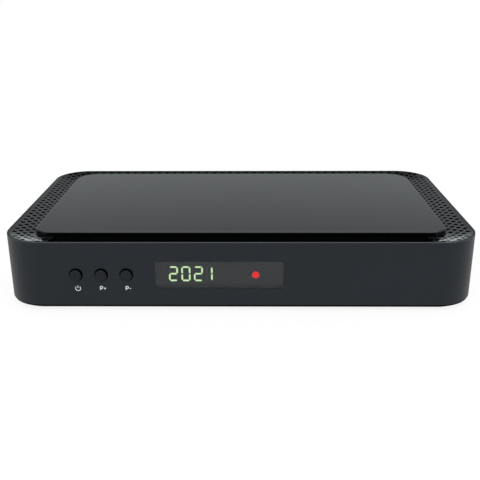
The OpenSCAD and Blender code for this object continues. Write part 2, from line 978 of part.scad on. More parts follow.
// Four screws hold the main board to the tray's posts
module board_screws() {
    color("#8d8f92")
        for (sx = [-1, 1], y = board_hole_y)
            translate([sx * board_hole_x, y, board_top + screw_head_h])
                mirror([0, 0, 1])
                    screw(screw_d, small_screw_len, screw_head_d, screw_head_h);
}

// A chip that lies on the main board
module chip(x, y, w, d, t) {
    translate([x - w / 2, y - d / 2, board_top])
        cube([w, d, t]);
}

module processor() {
    color("#202020")
        chip(chip_x, chip_y, chip_w, chip_w, chip_t);
}

// Finned block on the processor
module heat_sink() {
    color("#b9bcc0")
        translate([chip_x - sink_w / 2, chip_y - sink_w / 2, board_top + chip_t]) {
            cube([sink_w, sink_w, sink_base]);
            for (i = [0:fin_count - 1])
                translate([i * (sink_w - fin_t) / (fin_count - 1), 0, 0])
                    cube([fin_t, sink_w, sink_h]);
        }
}

module memory_chips() {
    color("#1d1d1f")
        for (i = [0, 1])
            chip(chip_x - sink_w / 2 - memory_gap - memory_w / 2,
                 chip_y + (i - 0.5) * (memory_d + memory_gap), memory_w, memory_d, memory_t);
}

module power_chips() {
    color("#1d1d1f")
        for (x = power_x)
            chip(x, power_chip_y, power_chip[0], power_chip[1], power_chip[2]);
}

module crystal() {
    color("#c4c6c8")
        translate([chip_x + sink_w / 2 + crystal_gap, chip_y, board_top])
            linear_extrude(crystal_w)
                rounded_rect(crystal_l, crystal_w, crystal_w / 2 - running);
}

// Moulded power coils with rounded corners
module coils() {
    color("#3a3a3c")
        for (x = power_x)
            translate([x, coil_y, board_top])
                linear_extrude(coil_h)
                    rounded_rect(coil_w, coil_w, coil_r);
}

// Round capacitors that stand on the board
module capacitors() {
    color("#20304a")
        for (i = [0:3])
            translate([inlet_x + i * can_pitch, capacitor_y, board_top]) {
                cylinder(d = can_cap_d, h = can_cap_h - can_bead);
                translate([0, 0, can_cap_h - can_bead])
                    cylinder(d1 = can_cap_d, d2 = can_cap_d - can_bead, h = can_bead);
            }
}

// Tin box that screens the tuner
module tuner_can() {
    color("#bfc1c4")
        translate([can_x, 0, 0])
            difference() {
                block(can_w, can_rear - can_d, can_rear, board_top, board_top + can_h);
                block(can_w - 2 * can_wall, can_rear - can_d + can_wall, can_rear - can_wall,
                      board_top - cut, board_top + can_h - can_wall);
            }
}

// Threaded aerial connector on a wider base that fills the rear panel's hole
module aerial_connector(x) {
    color("#c9cbcd")
        translate([x, 0, aerial_z])
            difference() {
                union() {
                    bar(aerial_base_d, can_rear, rear_y);
                    bar(thread_d, rear_y - cut, rear_y + thread_len - chamfer);
                    translate([0, rear_y + thread_len - chamfer, 0])
                        rotate([-90, 0, 0])
                            cylinder(d1 = thread_d, d2 = thread_d - 2 * chamfer, h = chamfer);
                }
                bar(insulator_d, rear_y, rear_y + thread_len + cut);
            }
}

module satellite_input() { aerial_connector(aerial_x[0]); }

module satellite_output() { aerial_connector(aerial_x[1]); }

// White cores of the aerial connectors, bored for the cable's wire
module aerial_insulators() {
    color("#e9e7e0")
        for (x = aerial_x)
            translate([x, 0, aerial_z])
                difference() {
                    bar(insulator_d, rear_y, rear_y + thread_len - chamfer);
                    bar(contact_d, rear_y + socket_floor, rear_y + thread_len);
                }
}

// A tin shell that stands on the board with its mouth at the rear face
module shell(x, w, h, d) {
    translate([x, 0, 0])
        difference() {
            block(w, rear_y - d, rear_y, board_top, board_top + h);
            block(w - 2 * shell_t, rear_y - d + shell_t, rear_y + cut,
                  board_top + shell_t, board_top + h - shell_t);
        }
}

// The plastic tongue inside a shell
module tongue(x, w, d, rise) {
    translate([x, 0, 0])
        block(w - 2 * shell_t - 2 * tongue_side, rear_y - d + shell_t, rear_y - tongue_back,
              board_top + rise, board_top + rise + tongue_t);
}

module hdmi_socket() {
    color("#c9cbcd")
        shell(hdmi_x, hdmi_w, hdmi_h, hdmi_d);
}

module hdmi_tongue() {
    color("#141414")
        tongue(hdmi_x, hdmi_w, hdmi_d, (hdmi_h - tongue_t) / 2);
}

module usb_socket() {
    color("#c9cbcd")
        shell(usb_x, usb_w, usb_h, usb_d);
}

module usb_tongue() {
    color("#f0f0f0")
        tongue(usb_x, usb_w, usb_d, usb_h - shell_t - tongue_t - usb_tongue_drop);
}

// Screened network socket with its mouth and the notch for the plug's latch
module network_socket() {
    port_z = board_top + network_port_z + latch_h;
    color("#c2c4c6")
        translate([network_x, 0, 0])
            difference() {
                block(network_w, rear_y - network_d, rear_y, board_top, board_top + network_h);
                block(network_port[0], rear_y - network_d + network_back, rear_y + cut,
                      port_z, port_z + network_port[1]);
                block(latch_w, rear_y - network_d + latch_back, rear_y + cut,
                      port_z - latch_h, port_z + cut);
            }
}

// Eight sprung wires at the back of the network socket
module network_contacts() {
    contact_top = board_top + network_port_z + latch_h + network_port[1];
    color("#d9b45a")
        for (i = [0:contact_count - 1])
            translate([network_x + (i - (contact_count - 1) / 2) * contact_pitch, 0, 0])
                block(contact_t, rear_y - network_d + network_back,
                      rear_y - network_d + network_back + contact_l,
                      contact_top - contact_h, contact_top);
}

// Round socket for digital sound, with a moulded foot on the board
module digital_audio_socket() {
    color("#c9cbcd")
        translate([audio_x, 0, 0])
            difference() {
                union() {
                    translate([0, 0, audio_z])
                        bar(audio_base_d, audio_rear - cut, rear_y);
                    translate([0, 0, audio_z])
                        bar(audio_d, rear_y - cut, rear_y + audio_len);
                    block(audio_body[0], audio_rear - audio_body[1], audio_rear,
                          board_top, board_top + audio_body[2]);
                }
                translate([0, 0, audio_z])
                    bar(audio_insulator, rear_y, rear_y + audio_len + cut);
            }
}

module digital_audio_insulator() {
    color("#e07a1e")
        translate([audio_x, 0, audio_z])
            difference() {
                bar(audio_insulator, rear_y, rear_y + audio_len - chamfer);
                bar(audio_hole, rear_y + socket_floor, rear_y + audio_len);
            }
}

// Small round socket for picture and sound
module av_jack() {
    color("#d8c23c")
        translate([av_x, 0, av_z])
            difference() {
                union() {
                    block(av_body[0], av_rear - av_body[1], av_rear, -av_body[2] / 2, av_body[2] / 2);
                    bar(av_collar_d, av_rear - cut, rear_y + av_len);
                }
                bar(av_bore, rear_y + av_len - av_depth, rear_y + av_len + cut);
            }
}

// Power inlet: a black block with a round mouth
module dc_inlet() {
    color("#161616")
        translate([inlet_x, 0, inlet_z])
            difference() {
                block(inlet_body[0], rear_y - inlet_body[1], rear_y, -inlet_body[2] / 2, inlet_body[2] / 2);
                bar(inlet_bore, rear_y - inlet_depth, rear_y + cut);
            }
}

module dc_inlet_pin() {
    color("#cfd1d3")
        translate([inlet_x, 0, inlet_z])
            bar(inlet_pin_d, rear_y - inlet_depth, rear_y - inlet_depth + inlet_len);
}

base_tray();
rubber_feet();
case_screws();
upper_case();
vent_frame();
top_panel();
rear_panel();
display_window();
power_button();
channel_up_button();
channel_down_button();
power_plunger();
channel_up_plunger();
channel_down_plunger();
switch_housings();
front_board();
front_board_screws();
display_module();
display_segments();
standby_led();
led_holder();
infrared_receiver();
ribbon_cable();
ribbon_connectors();
main_board();
board_screws();
processor();
heat_sink();
memory_chips();
power_chips();
crystal();
coils();
capacitors();
tuner_can();
satellite_input();
satellite_output();
aerial_insulators();
hdmi_socket();
hdmi_tongue();
usb_socket();
usb_tongue();
network_socket();
network_contacts();
digital_audio_socket();
digital_audio_insulator();
av_jack();
dc_inlet();
dc_inlet_pin();
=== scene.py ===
# %% [markdown]
# # A satellite receiver, dressed in Blender
# The solids of the case, its buttons and its sockets arrive ready made, at their real
# size. What is left for this lesson is how the surfaces look, and the few small shapes
# that are too fine for the solids: ink, screw threads, contacts and unlit segments.
# Every length is in metres, +Z is up and the front of the receiver faces -Y.

# %% Load the solids
import json
import math

import bpy
import numpy as np
from mathutils import Matrix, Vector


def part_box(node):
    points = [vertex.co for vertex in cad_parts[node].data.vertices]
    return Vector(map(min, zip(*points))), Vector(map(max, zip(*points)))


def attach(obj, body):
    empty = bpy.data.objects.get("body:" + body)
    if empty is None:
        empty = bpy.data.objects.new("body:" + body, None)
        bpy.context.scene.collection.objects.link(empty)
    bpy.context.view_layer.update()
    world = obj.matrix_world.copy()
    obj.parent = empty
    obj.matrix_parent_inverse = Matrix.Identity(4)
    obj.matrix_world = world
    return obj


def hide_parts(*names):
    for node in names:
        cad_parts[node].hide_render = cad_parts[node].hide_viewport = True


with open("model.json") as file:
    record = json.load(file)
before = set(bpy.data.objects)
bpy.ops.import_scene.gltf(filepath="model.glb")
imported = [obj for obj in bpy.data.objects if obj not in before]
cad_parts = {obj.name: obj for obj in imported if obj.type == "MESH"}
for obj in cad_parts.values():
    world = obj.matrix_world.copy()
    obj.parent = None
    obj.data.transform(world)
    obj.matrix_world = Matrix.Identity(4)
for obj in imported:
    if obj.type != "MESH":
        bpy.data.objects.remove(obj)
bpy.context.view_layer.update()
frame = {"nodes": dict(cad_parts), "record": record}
MM = 0.001
NODES = frame["nodes"]
SLOT_OF = {part["node"]: part["material_slot"] for part in frame["record"]["subparts"]}

# %% [markdown]
# The camera comes first. A picture of a box with straight edges gives away where it was
# taken from: the lens, the place and the three turns below were found by fitting the
# outline of the case. A camera looks along its own -Z, so its turn is written as three
# directions: right, up and backwards.

# %% The camera
CAMERA_AT = np.array([3.736, -351.042, 139.126]) * MM
CAMERA_LENS = 53.306
NEAREST_SEEN = 10 * MM
LOOK_DOWN = math.radians(20.241)
LOOK_ASIDE = math.radians(-0.735)
LOOK_TILT = math.radians(-0.237)


def camera_axes(down, aside, tilt):
    """Right, up and forward: forward leaves +Y by aside and dips by down, and the other
    two turn about it by tilt."""
    forward = np.array([math.sin(aside) * math.cos(down),
                        math.cos(aside) * math.cos(down),
                        -math.sin(down)])
    right = np.array([math.cos(aside), -math.sin(aside), 0.0])
    up = np.cross(right, forward)
    turned_right = math.cos(tilt) * right + math.sin(tilt) * up
    turned_up = math.cos(tilt) * up - math.sin(tilt) * right
    return turned_right, turned_up, forward


def turned_matrix(right, up, backwards, place):
    """The first three columns are an object's own axes, and the last is its place."""
    matrix = np.eye(4)
    matrix[:3] = np.stack([right, up, backwards, place], axis=1)
    return Matrix(matrix.tolist())


def make_camera():
    right, up, forward = camera_axes(LOOK_DOWN, LOOK_ASIDE, LOOK_TILT)
    data = bpy.data.cameras.new("camera")
    data.lens = CAMERA_LENS
    data.clip_start = NEAREST_SEEN
    camera = bpy.data.objects.new("camera", data)
    camera.matrix_world = turned_matrix(right, up, -forward, CAMERA_AT)
    bpy.context.scene.collection.objects.link(camera)
    bpy.context.scene.camera = camera
    print("camera at", np.round(camera.location, 4))


make_camera()

# %% [markdown]
# ## How a material is written here
# Colours are easier to think of as they look on a screen, so each one is written as
# red, green and blue from 0 to 255 and turned into the linear light that the shader
# needs. The helpers below only save typing: a node, a link, a value on a socket.

# %% Helpers for node trees


def linear(red, green, blue):
    """A screen colour as linear light: divide by 12.92 near black, else a power curve."""
    screen = np.array([red, green, blue]) / 255.0
    light = np.where(screen <= 0.04045, screen / 12.92, ((screen + 0.055) / 1.055) ** 2.4)
    return (*light.tolist(), 1.0)


class Tree:
    """A node tree with short calls. A Mix node has its factor at socket 0, its numbers at
    2 and 3 and its colours at 6 and 7."""

    def __init__(self, tree):
        self.tree = tree

    def add(self, kind, inputs=None, **settings):
        node = self.tree.nodes.new("ShaderNode" + kind)
        for name, value in settings.items():
            setattr(node, name, value)
        for name, value in (inputs or {}).items():
            self.put(node.inputs[name], value)
        return node

    def put(self, socket, value):
        if isinstance(value, bpy.types.NodeSocket):
            self.tree.links.new(value, socket)
        else:
            socket.default_value = value

    def math(self, operation, first, second=0.0, third=0.0):
        return self.add("Math", {0: first, 1: second, 2: third}, operation=operation).outputs[0]

    def mix(self, factor, first, second):
        node = self.add("Mix", {0: factor, 6: first, 7: second}, data_type="RGBA")
        return node.outputs[2]

    def mix_numbers(self, factor, first, second):
        return self.add("Mix", {0: factor, 2: first, 3: second}).outputs[0]

    def axes(self, vector):
        return self.add("SeparateXYZ", {0: vector}).outputs

    def vector(self, operation, first, second=(0, 0, 0)):
        return self.add("VectorMath", {0: first, 1: second}, operation=operation).outputs[0]

    def ramp(self, value, low, high, to_low=0.0, to_high=1.0):
        node = self.add("MapRange", {"Value": value, "From Min": low, "From Max": high,
                                     "To Min": to_low, "To Max": to_high})
        node.interpolation_type = "SMOOTHSTEP"
        return node.outputs[0]


def new_group(name, inputs, outputs):
    """An empty shader group: inputs are (name, kind, value), outputs are (name, kind)."""
    group = bpy.data.node_groups.new(name, "ShaderNodeTree")
    for label, kind, value in inputs:
        socket = group.interface.new_socket(label, in_out="INPUT",
                                            socket_type="NodeSocket" + kind)
        if value is not None:
            socket.default_value = value
    for label, kind in outputs:
        group.interface.new_socket(label, in_out="OUTPUT", socket_type="NodeSocket" + kind)
    source = group.nodes.new("NodeGroupInput")
    result = group.nodes.new("NodeGroupOutput")
    print("group:", name)
    return group, Tree(group), source, result


# %% [markdown]
# ## Three effects that many finishes share
# Moulded plastic is never one flat colour. The steel of its mould was spark-eroded, which
# leaves a fine grain, and the flow of the melt leaves faint broad clouds. Handled or
# machined metal has fine lines along one direction. And a circuit board or a cable has
# stripes. Each effect is a group, built once, so every finish can set its own scale and
# strength. The first two put out a colour, a roughness and a height, and the third a mask.

# %% The moulded grain


def make_moulded_grain():
    """Height is a fine noise plus a quarter of one five times finer. The colour moves
    between two tones with a broad noise, and the roughness follows the fine one."""
    group, t, source, result = new_group(
        "moulded_grain",
        [("Vector", "Vector", None), ("Tone", "Color", None), ("Cloud Tone", "Color", None),
         ("Grain Size", "Float", 0.3), ("Cloud Size", "Float", 20.0),
         ("Roughness", "Float", 0.4), ("Roughness Spread", "Float", 0.08)],
        [("Color", "Color"), ("Roughness", "Float"), ("Height", "Float")])
    put = source.outputs
    per_metre = t.math("DIVIDE", 1 / MM, put["Grain Size"])
    fine = t.add("TexNoise", {"Vector": put["Vector"], "Scale": per_metre, "Detail": 2.0})
    per_metre_finer = t.math("MULTIPLY", per_metre, 5.0)
    finer = t.add("TexNoise", {"Vector": put["Vector"], "Scale": per_metre_finer, "Detail": 1.0})
    cloud_scale = t.math("DIVIDE", 1 / MM, put["Cloud Size"])
    cloud = t.add("TexNoise", {"Vector": put["Vector"], "Scale": cloud_scale, "Detail": 4.0,
                               "Roughness": 0.6})
    height = t.math("MULTIPLY_ADD", finer.outputs["Fac"], 0.25, fine.outputs["Fac"])
    mask = t.ramp(cloud.outputs["Fac"], 0.35, 0.65)
    t.put(result.inputs["Color"], t.mix(mask, put["Tone"], put["Cloud Tone"]))
    swing = t.math("SUBTRACT", fine.outputs["Fac"], 0.5)
    t.put(result.inputs["Roughness"],
          t.math("MULTIPLY_ADD", swing, put["Roughness Spread"], put["Roughness"]))
    t.put(result.inputs["Height"], height)
    return group


MOULDED_GRAIN = make_moulded_grain()

# %% The drawn lines of worked metal


def make_metal_lines():
    """A noise stretched along one direction gives lines, in the roughness and the height.
    Spots of a broad noise dull the colour and the shine in places."""
    group, t, source, result = new_group(
        "metal_lines",
        [("Vector", "Vector", None), ("Tone", "Color", None), ("Dull Tone", "Color", None),
         ("Stretch", "Vector", (4.0, 0.3, 4.0)), ("Roughness", "Float", 0.3),
         ("Roughness Spread", "Float", 0.2)],
        [("Color", "Color"), ("Roughness", "Float"), ("Height", "Float")])
    put = source.outputs
    stretched = t.vector("MULTIPLY", put["Vector"], put["Stretch"])
    lines = t.add("TexNoise", {"Vector": stretched, "Scale": 1 / MM, "Detail": 3.0})
    spots = t.add("TexNoise", {"Vector": put["Vector"], "Scale": 0.25 / MM, "Detail": 3.0})
    dull = t.ramp(spots.outputs["Fac"], 0.45, 0.7)
    t.put(result.inputs["Color"], t.mix(dull, put["Tone"], put["Dull Tone"]))
    swing = t.math("ADD", t.math("SUBTRACT", lines.outputs["Fac"], 0.5),
                   t.math("MULTIPLY", dull, 0.5))
    t.put(result.inputs["Roughness"],
          t.math("MULTIPLY_ADD", swing, put["Roughness Spread"], put["Roughness"]))
    t.put(result.inputs["Height"], lines.outputs["Fac"])
    return group


METAL_LINES = make_metal_lines()

# %% Stripes, for boards and cables
STRIPE_EASE = 0.06


def make_stripes():
    """The share of the way from one stripe to the next, folded, and eased into a mask
    that is 1 on the stripe: Width is the stripe's share of the pitch."""
    group, t, source, result = new_group(
        "stripes",
        [("Position", "Float", 0.0), ("Pitch", "Float", 1.0), ("Width", "Float", 0.5)],
        [("Mask", "Float")])
    put = source.outputs
    steps = t.math("DIVIDE", put["Position"], t.math("MULTIPLY", put["Pitch"], MM))
    folded = t.math("MULTIPLY", t.math("PINGPONG", steps, 0.5), 2.0)
    edge = t.math("SUBTRACT", 1.0, put["Width"])
    t.put(result.inputs["Mask"], t.ramp(folded, t.math("SUBTRACT", edge, STRIPE_EASE),
                                        t.math("ADD", edge, STRIPE_EASE)))
    return group


STRIPES = make_stripes()

# %% [markdown]
# A material is then a Principled shader with one of those groups in front of it. What is
# the same all over the surface, such as a metal's metalness, is set on the shader itself;
# only what changes over the surface comes through a link.

# %% Materials from the two main groups
MATERIALS = {}
METAL_DEPTH = 0.002
METAL_SPREAD = 0.2


def start_material(slot):
    material = bpy.data.materials.new(slot)
    material.use_nodes = True
    t = Tree(material.node_tree)
    shader = material.node_tree.nodes["Principled BSDF"]
    place = t.add("TexCoord").outputs["Object"]
    MATERIALS[slot] = material
    print("finish:", slot)
    return t, shader, place


def bump(t, shader, height, depth):
    """Tilts the surface as if it rose by depth millimetres where the height is 1."""
    node = t.add("Bump", {"Height": height, "Strength": 1.0, "Distance": depth * MM})
    t.put(shader.inputs["Normal"], node.outputs[0])


def grouped(slot, node_tree, depth, values):
    """A finish from one group: its values, and its three outputs on the shader."""
    t, shader, place = start_material(slot)
    group = t.add("Group", {"Vector": place, **values}, node_tree=node_tree)
    t.put(shader.inputs["Base Color"], group.outputs["Color"])
    t.put(shader.inputs["Roughness"], group.outputs["Roughness"])
    bump(t, shader, group.outputs["Height"], depth)
    return t, shader, group.outputs, place


def moulded(slot, tone, cloud_tone, rough, spread=0.08, grain=0.3, depth=0.004, cloud=20.0,
            specular=0.5):
    """Moulded plastic or rubber: tone and cloud_tone are screen colours, grain and cloud
    are sizes in millimetres, depth is the height of the grain."""
    made = grouped(slot, MOULDED_GRAIN, depth,
                   {"Tone": linear(*tone), "Cloud Tone": linear(*cloud_tone),
                    "Grain Size": grain, "Cloud Size": cloud, "Roughness": rough,
                    "Roughness Spread": spread})
    made[1].inputs["Specular IOR Level"].default_value = specular
    return made


def metal(slot, tone, dull_tone, rough, stretch=(4.0, 0.3, 4.0)):
    """Worked or plated metal, with lines along the axis that stretch leaves long."""
    made = grouped(slot, METAL_LINES, METAL_DEPTH,
                   {"Tone": linear(*tone), "Dull Tone": linear(*dull_tone),
                    "Stretch": stretch, "Roughness": rough, "Roughness Spread": METAL_SPREAD})
    made[1].inputs["Metallic"].default_value = 1.0


# %% [markdown]
# A deep narrow gap looks black on a photograph whatever its walls are made of, because no
# light finds its way out. A surface's own direction tells such walls apart: facing() gives
# one axis of the normal, and gap_walls() paints that shade: it blackens a finish where a mask
# falls to 0. It makes those walls metallic as well, since a black metal mirrors nothing at all.

# %% Directions and black gaps
PAINTED_SHADE_BLACK = linear(2, 2, 2)


def facing(t, axis):
    """One axis of the surface normal, from -1 to 1."""
    return t.axes(t.add("NewGeometry").outputs["Normal"])[axis]


def gap_walls(t, shader, open_mask, colour):
    """The colour where the mask is 1; black and metallic where it is 0."""
    t.put(shader.inputs["Base Color"], t.mix(open_mask, PAINTED_SHADE_BLACK, colour))
    t.put(shader.inputs["Metallic"], t.math("SUBTRACT", 1.0, open_mask))


# %% [markdown]
# The case is one satin, bluish black plastic. Satin means a roughness near 0.4: the room
# is mirrored as a soft haze, brighter where the walls turn away at the corners. The grain
# is as fine as skin, so that it breaks the haze without showing as bumps.

# %% The case, the tray and the buttons
CASE_LOW, CASE_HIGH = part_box("upper_case")
RIM_TOP = CASE_HIGH.z
LIP_HIGHLIGHT_FROM = RIM_TOP - 0.45 * MM
LIP_HIGHLIGHT_FULL = RIM_TOP - 0.1 * MM
LIP_HIGHLIGHT_TONE = linear(66, 70, 73)
SIDE_SHEEN_TONE = linear(40, 43, 43)


def make_case():
    """The lip along the front is painted brighter, a painted highlight: one mask rises over the
    lip's last half millimetre, another is 1 where the surface looks forward, and both must
    hold. The walls that face sideways are painted a little paler, a painted sheen."""
    t, shader, made, place = moulded("case_plastic", (19, 27, 35), (20, 29, 37), rough=0.42,
                                     spread=0.1, grain=0.25, depth=0.003, specular=0.35)
    # Painted highlight along the front lip, and a painted paler sheen on the sideways walls.
    lip_highlight = t.math("MULTIPLY", t.ramp(t.axes(place)["Z"], LIP_HIGHLIGHT_FROM, LIP_HIGHLIGHT_FULL),
                  t.ramp(facing(t, "Y"), -0.1, -0.5))
    # Walls that face sideways get a paler tone: a painted sheen.
    aside = t.ramp(t.math("ABSOLUTE", facing(t, "X")), 0.6, 0.95)
    wall = t.mix(aside, made["Color"], SIDE_SHEEN_TONE)
    t.put(shader.inputs["Base Color"], t.mix(lip_highlight, wall, LIP_HIGHLIGHT_TONE))


def make_tray():
    """Under the walls only the tray's upright edge shows, as a thin line of painted black shade.
    """
    t, shader, made, _ = moulded("tray_plastic", (14, 15, 16), (18, 19, 20), rough=0.55,
                                 grain=0.5, depth=0.012)
    # Upright faces are painted black: painted shade under the walls.
    flat = t.ramp(t.math("ABSOLUTE", facing(t, "Z")), 0.3, 0.8)
    gap_walls(t, shader, flat, made["Color"])


make_case()
make_tray()
moulded("rear_plastic", (22, 24, 26), (26, 28, 30), rough=0.5, grain=0.45, depth=0.01)
moulded("foot_rubber", (20, 20, 20), (30, 30, 29), rough=0.85, grain=0.2, depth=0.01)


def make_button(slot, tone, cloud_tone, **settings):
    """A button's face has a finish; its side stands in the shade of its hole."""
    t, shader, made, _ = moulded(slot, tone, cloud_tone, specular=0.3, **settings)
    gap_walls(t, shader, t.ramp(facing(t, "Y"), -0.3, -0.75), made["Color"])


make_button("button_plastic", (14, 21, 28), (16, 23, 30), rough=0.45, grain=0.25, depth=0.004)
make_button("channel_button_plastic", (12, 19, 26), (25, 31, 38), rough=0.5, spread=0.2,
            grain=0.35, depth=0.03, cloud=0.9)

# %% [markdown]
# The frame is the same plastic with a smoother skin. The webs between its holes are painted
# paler than the plain strip beside the lip, so a mask must know how far a point lies inside the
# outline. For a rounded rectangle that distance is short to write: shift the point into one
# quarter, measure it from the middle of the corner's arc, and take that length off the
# radius. The webs are palest at the front corners, a painted highlight for the glints on the
# hole edges, and painted dark at the rear, painted shade. The holes' walls are painted black,
# painted shade, and so is the recess behind the front wall, up to the slanted line on which
# the panel's corner throws its shade.

# %% The frame
CORNER = 17 * MM
WEBS_FROM, WEBS_FULL = 2.0 * MM, 2.8 * MM
# Painted highlight on the webs at the front, painted shade on the webs at the rear.
FRONT_WEB_GLINT = linear(160, 166, 170)
SIDE_WEBS = linear(52, 55, 57)
REAR_WEB_SHADE = linear(30, 32, 34)
FRONT_FROM, FRONT_FULL = 13 * MM, 4 * MM
REAR_FROM, REAR_FULL = 60 * MM, 5 * MM
SHADE_FROM, SHADE_FULL = 10 * MM, 4 * MM
REAR_SHADE = 0.4
RECESS_Z = RIM_TOP - 2.5 * MM
RECESS_FLOOR, RECESS_OVER = RECESS_Z + 0.05 * MM, RECESS_Z + 0.3 * MM
RECESS_HALF = 84.75 * MM
RECESS_SLANT = 0.4
RECESS_DEEP = 9 * MM
SHADE_EASE = 0.3 * MM


def inside_outline(t, place):
    """Radius - length(max(|p| - half size + radius, 0)), for a rounded rectangle. The arc's
    middle is put far up, so that the height doesn't count."""
    middle = (CASE_LOW + CASE_HIGH) / 2
    half = (CASE_HIGH - CASE_LOW) / 2
    quarter = t.vector("ABSOLUTE", t.vector("SUBTRACT", place, middle))
    far_up = 1.0
    arc_middle = (half.x - CORNER, half.y - CORNER, far_up)
    kept = t.vector("MAXIMUM", t.vector("SUBTRACT", quarter, arc_middle))
    length = t.add("VectorMath", {0: kept}, operation="LENGTH").outputs["Value"]
    return t.math("SUBTRACT", CORNER, length)


def make_frame():
    t, shader, made, place = moulded("frame_plastic", (28, 30, 32), (32, 34, 36), rough=0.3,
                                     spread=0.1, grain=0.3, depth=0.003)
    axes = t.axes(place)
    deep = t.math("SUBTRACT", axes["Y"], CASE_LOW.y)
    from_rear = t.math("SUBTRACT", CASE_HIGH.y, axes["Y"])
    side_tone = t.mix(t.ramp(from_rear, REAR_FROM, REAR_FULL), SIDE_WEBS, REAR_WEB_SHADE)
    web_tone = t.mix(t.ramp(deep, FRONT_FROM, FRONT_FULL), side_tone, FRONT_WEB_GLINT)
    webs = t.ramp(inside_outline(t, place), WEBS_FROM, WEBS_FULL)
    colour = t.mix(webs, made["Color"], web_tone)
    # The holes' walls and the recess are painted black where this mask is 0: painted shade.
    lies = t.math("MULTIPLY", t.ramp(facing(t, "Z"), 0.35, 0.8),
                  t.ramp(axes["Z"], RECESS_FLOOR, RECESS_OVER))
    line = t.math("MULTIPLY_ADD", deep, RECESS_SLANT, RECESS_HALF)
    past_line = t.math("SUBTRACT", t.math("ABSOLUTE", axes["X"]), line)
    beside = t.ramp(past_line, -SHADE_EASE, SHADE_EASE)
    behind = t.ramp(deep, RECESS_DEEP, RECESS_DEEP + 1 * MM)
    open_place = t.math("MULTIPLY", lies, t.math("MAXIMUM", beside, behind))
    # Painted shade over the rear strip of the frame.
    rear_shade = t.ramp(from_rear, SHADE_FROM, SHADE_FULL, 1.0, REAR_SHADE)
    gap_walls(t, shader, t.math("MULTIPLY", open_place, rear_shade), colour)


make_frame()

# %% [markdown]
# The raised panel is dark grey on top and has a black rounded edge. One material can do
# both: the height of a point above the table tells the top from the edge. A smooth
# step between two heights, worked out from the panel's own box, mixes the two finishes.

# %% The raised panel
PANEL_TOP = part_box("top_panel")[1].z
EDGE_LOW = PANEL_TOP - 0.35 * MM
EDGE_HIGH = PANEL_TOP - 0.12 * MM
EDGE_TONE = linear(6, 7, 8)
EDGE_ROUGH = 0.18


def make_panel():
    t, shader, made, place = moulded("panel_plastic", (28, 30, 32), (30, 32, 34), rough=0.2,
                                     spread=0.05, grain=0.2, depth=0.001, cloud=45.0)
    on_top = t.ramp(t.axes(place)["Z"], EDGE_LOW, EDGE_HIGH)
    t.put(shader.inputs["Base Color"], t.mix(on_top, EDGE_TONE, made["Color"]))
    t.put(shader.inputs["Roughness"], t.mix_numbers(on_top, EDGE_ROUGH, made["Roughness"]))


make_panel()
print("panel top at", round(PANEL_TOP / MM, 2), "mm")

# %% [markdown]
# Behind the smoked window four digits and a red lamp shine through a grey mask. The
# window is clear plastic with a grey dye: light that goes in and out again passes the dye
# twice, so the mask looks dark while the lit parts stay bright. Plastic bends light less
# than glass does, which is the index of refraction, 1.49.

# %% The window and what shines behind it
ACRYLIC_IOR = 1.49
SILL_H = 1.5 * MM
SILL_EASE = 0.9 * MM
SILL_PAINTED_LIGHT = linear(236, 248, 255)


def make_window():
    t, shader, place = start_material("smoked_window")
    dust = t.add("TexNoise", {"Vector": place, "Scale": 0.5 / MM, "Detail": 5.0})
    t.put(shader.inputs["Roughness"], t.ramp(dust.outputs["Fac"], 0.3, 0.8, 0.03, 0.12))
    t.put(shader.inputs["Base Color"],
          t.mix(dust.outputs["Fac"], linear(166, 170, 172), linear(172, 175, 177)))
    shader.inputs["Transmission Weight"].default_value = 1.0
    shader.inputs["IOR"].default_value = ACRYLIC_IOR


def make_light(slot, tone, core, strength):
    """A lit plastic: it glows evenly, a little brighter in soft spots."""
    t, shader, place = start_material(slot)
    spots = t.add("TexNoise", {"Vector": place, "Scale": 0.8 / MM, "Detail": 2.0})
    colour = t.mix(spots.outputs["Fac"], linear(*tone), linear(*core))
    t.put(shader.inputs["Base Color"], colour)
    t.put(shader.inputs["Emission Color"], colour)
    shader.inputs["Emission Strength"].default_value = strength
    shader.inputs["Roughness"].default_value = 0.35


make_window()
make_light("segment_green", (196, 228, 164), (206, 232, 178), 2.4)
make_light("lamp_red", (240, 6, 8), (244, 9, 12), 1.9)
moulded("display_plastic", (12, 12, 13), (15, 15, 16), rough=0.5)


def make_mask():
    """Less light reaches the lower edge of the mask, behind the window's sill, so its tone is
    painted lighter towards that edge: painted light that makes up for the sill's shade."""
    t, shader, made, place = moulded("mask_grey", (106, 117, 123), (110, 121, 127), rough=0.6,
                                     grain=0.1)
    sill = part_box("display_window")[0].z + SILL_H
    # Painted light rising towards the sill.
    near_sill = t.ramp(t.axes(place)["Z"], sill + SILL_EASE, sill - SILL_EASE)
    t.put(shader.inputs["Base Color"], t.mix(near_sill, made["Color"], SILL_PAINTED_LIGHT))


make_mask()
moulded("segment_unlit", (136, 144, 148), (140, 148, 152), rough=0.5, grain=0.1)
moulded("infrared_epoxy", (22, 12, 16), (28, 16, 20), rough=0.12, depth=0.001)

# %% [markdown]
# Inside and at the back there are metals, boards and small mouldings. They show through
# the vents, at the back and where the case is opened, so they get the finish of the real
# ones: tinned steel dulls in spots, nickel is brighter and warmer, gold is a spring's
# plating, and aluminium fins keep the lines of the press they came out of.

# %% Metals
metal("black_steel", (30, 30, 32), (44, 43, 42), rough=0.4)
metal("zinc_steel", (176, 176, 170), (150, 150, 146), rough=0.32)
metal("tinned_steel", (196, 198, 200), (168, 170, 172), rough=0.28, stretch=(0.3, 4.0, 4.0))
metal("nickel", (208, 206, 200), (186, 184, 178), rough=0.2, stretch=(4.0, 4.0, 4.0))
metal("contact_gold", (222, 184, 98), (200, 164, 88), rough=0.22)
metal("sink_aluminium", (190, 192, 196), (172, 174, 178), rough=0.38, stretch=(4.0, 0.2, 4.0))

